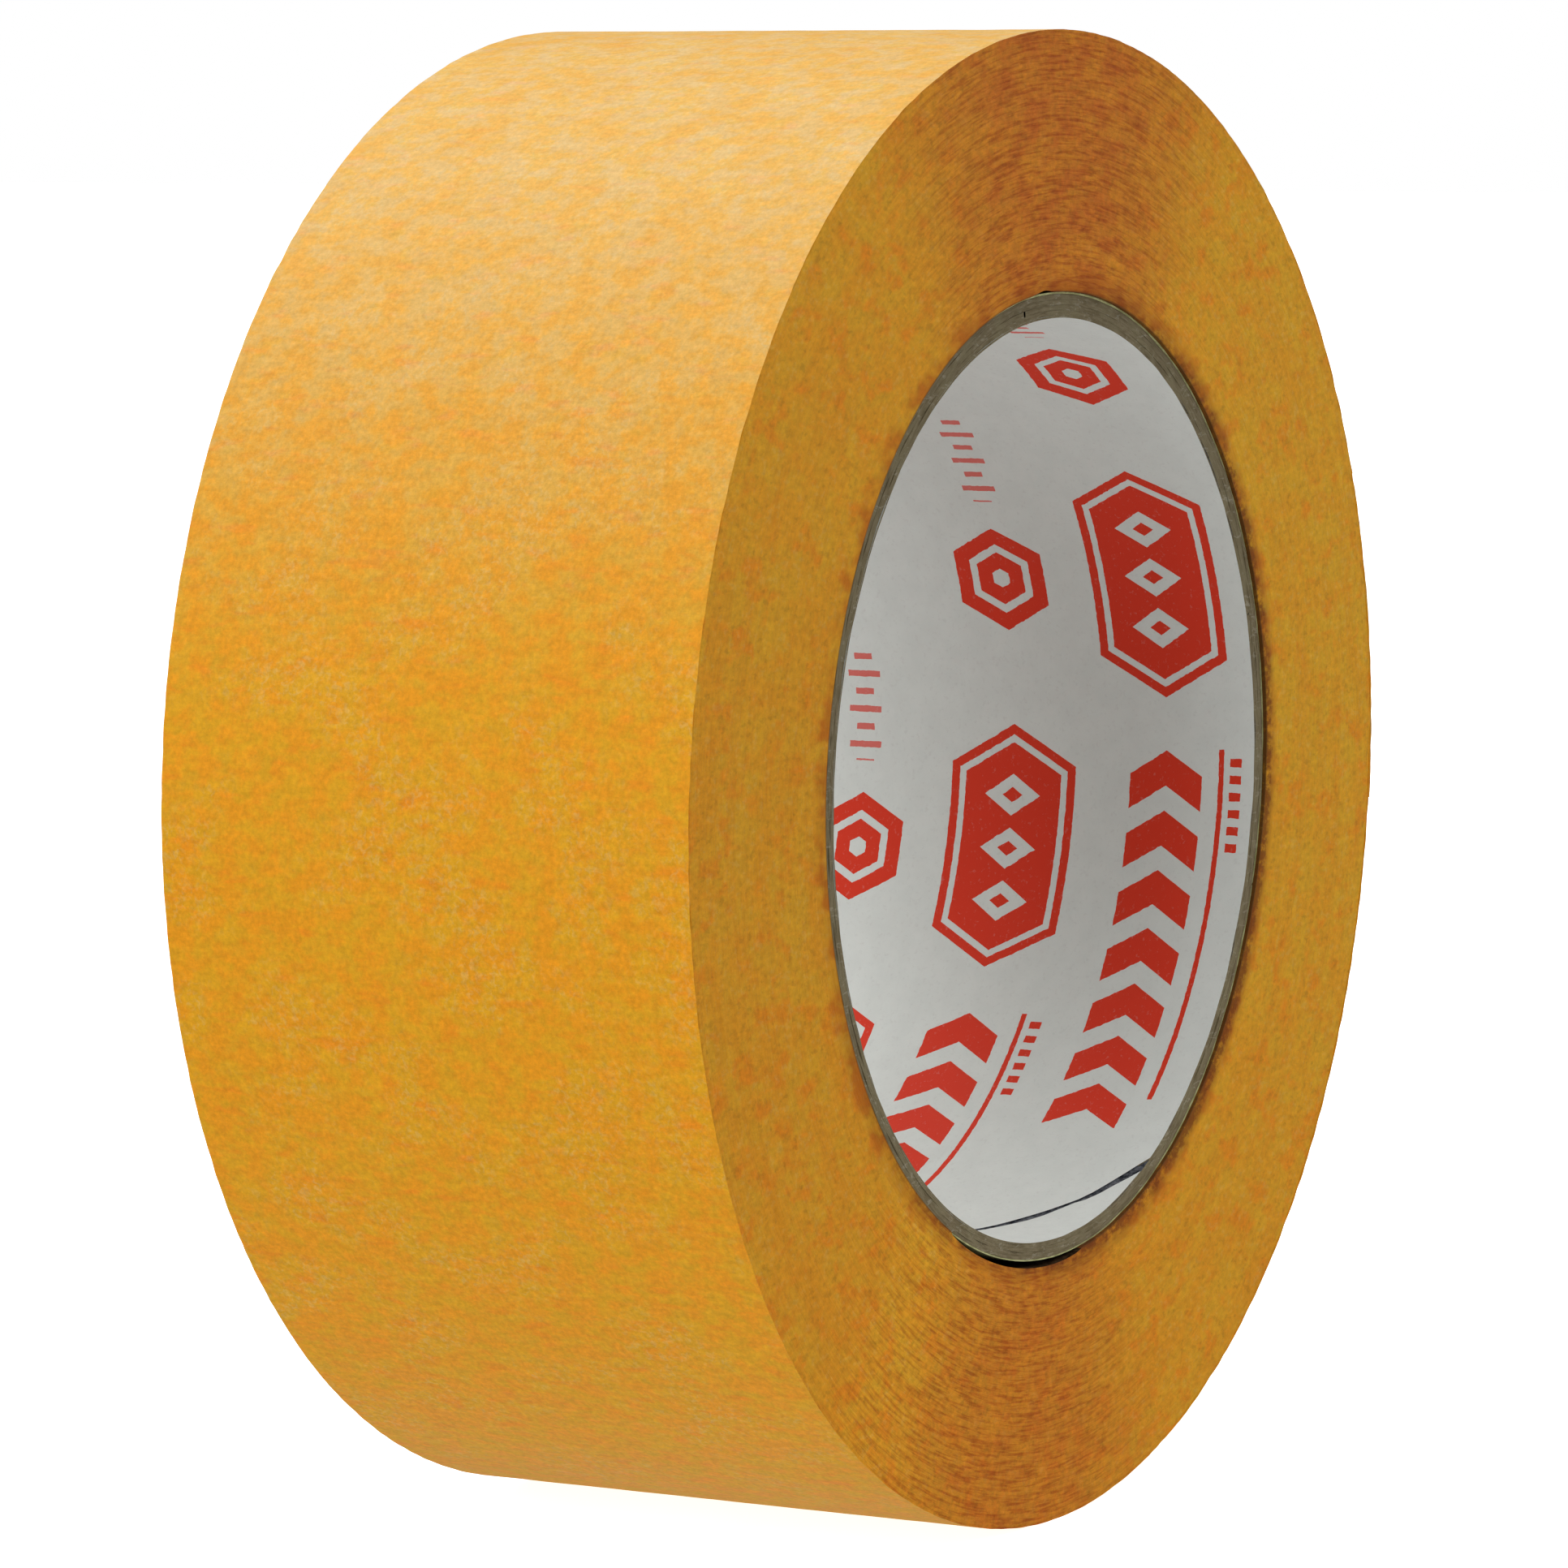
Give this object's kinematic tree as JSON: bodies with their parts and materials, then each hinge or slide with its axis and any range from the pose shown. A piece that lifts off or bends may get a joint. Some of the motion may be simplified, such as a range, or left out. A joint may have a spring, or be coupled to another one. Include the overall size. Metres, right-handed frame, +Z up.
{
  "type": "masking tape roll",
  "caption": "Roll of crepe paper masking tape on a spiral-wound paper core with a printed liner; the free end of the strip lifts off the roll",
  "frame": {"origin": "middle of the core's bore, halfway across the roll's width", "axes": "+Y along the roll's axis, with the front side face towards -Y; +Z up as the roll stands on its rim; +X towards the free end of the strip"},
  "size_m": [0.1239, 0.0478, 0.1238],
  "materials": {
    "liner_paper": null,
    "chipboard": "grey recycled chipboard, cut edge",
    "pale_paper": "thin pale kraft paper",
    "crepe_tape": "amber saturated crepe paper with fine cross wrinkles"
  },
  "bodies": {
    "roll": {"core_liner": "liner_paper", "core_ply_1": "chipboard", "core_ply_2": "chipboard", "core_ply_3": "chipboard", "core_ply_4": "chipboard", "core_outer_ply": "pale_paper", "tape_winding": "crepe_tape"},
    "tape_end": {"tape_free_end": "crepe_tape"}
  },
  "joints": [
    {"name": "peel", "type": "hinge", "parent": "roll", "child": "tape_end", "pos_m": [0.05758, 0, 0.02297], "axis": [0, -1, 0], "range_deg": [0, 90]}
  ]
}
